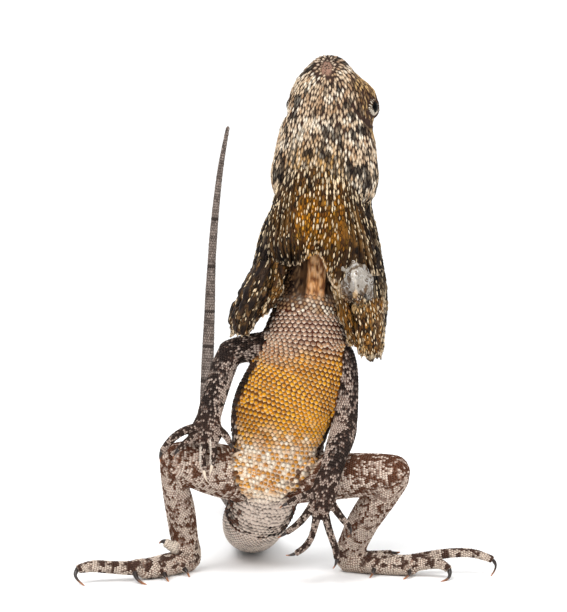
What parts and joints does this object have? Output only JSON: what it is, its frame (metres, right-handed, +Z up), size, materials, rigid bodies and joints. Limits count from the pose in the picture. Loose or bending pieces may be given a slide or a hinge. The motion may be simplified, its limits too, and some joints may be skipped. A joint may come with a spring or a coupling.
{
  "type": "frilled lizard",
  "caption": "Still life-size frilled lizard standing upright on its hind legs, snout up, folded frill hanging round its neck, long tail whipping up behind.",
  "frame": {"origin": "middle of the footprint of the whole animal, on the floor it stands on", "axes": "+Z up, -Y the way the belly faces, +X to the animal's left"},
  "size_m": [0.2006, 0.2774, 0.2469],
  "materials": {
    "hide": "dry scaled hide, cream and dark brown, orange on the belly",
    "frill_skin": "thin pleated scaled skin, dark brown and ochre",
    "eye": "wet gloss",
    "claw": "smooth horn, black root and amber tip"
  },
  "bodies": {
    "root": {"belly": "hide", "chest": "hide", "claw_finger_left_1": "claw", "claw_finger_left_2": "claw", "claw_finger_left_3": "claw", "claw_finger_left_4": "claw", "claw_finger_left_5": "claw", "claw_finger_right_1": "claw", "claw_finger_right_2": "claw", "claw_finger_right_3": "claw", "claw_finger_right_4": "claw", "claw_finger_right_5": "claw", "claw_toe_left_1": "claw", "claw_toe_left_2": "claw", "claw_toe_left_3": "claw", "claw_toe_left_4": "claw", "claw_toe_left_5": "claw", "claw_toe_right_1": "claw", "claw_toe_right_2": "claw", "claw_toe_right_3": "claw", "claw_toe_right_4": "claw", "claw_toe_right_5": "claw", "eye_left": "eye", "eye_right": "eye", "foot_left": "hide", "foot_right": "hide", "forearm_left": "hide", "forearm_right": "hide", "frill_left": "frill_skin", "frill_right": "frill_skin", "frill_throat": "frill_skin", "hand_left": "hide", "hand_right": "hide", "head": "hide", "neck": "hide", "pelvis": "hide", "shank_left": "hide", "shank_right": "hide", "tail_1": "hide", "tail_2": "hide", "tail_3": "hide", "tail_4": "hide", "tail_5": "hide", "thigh_left": "hide", "thigh_right": "hide", "upper_arm_left": "hide", "upper_arm_right": "hide"}
  },
  "joints": []
}
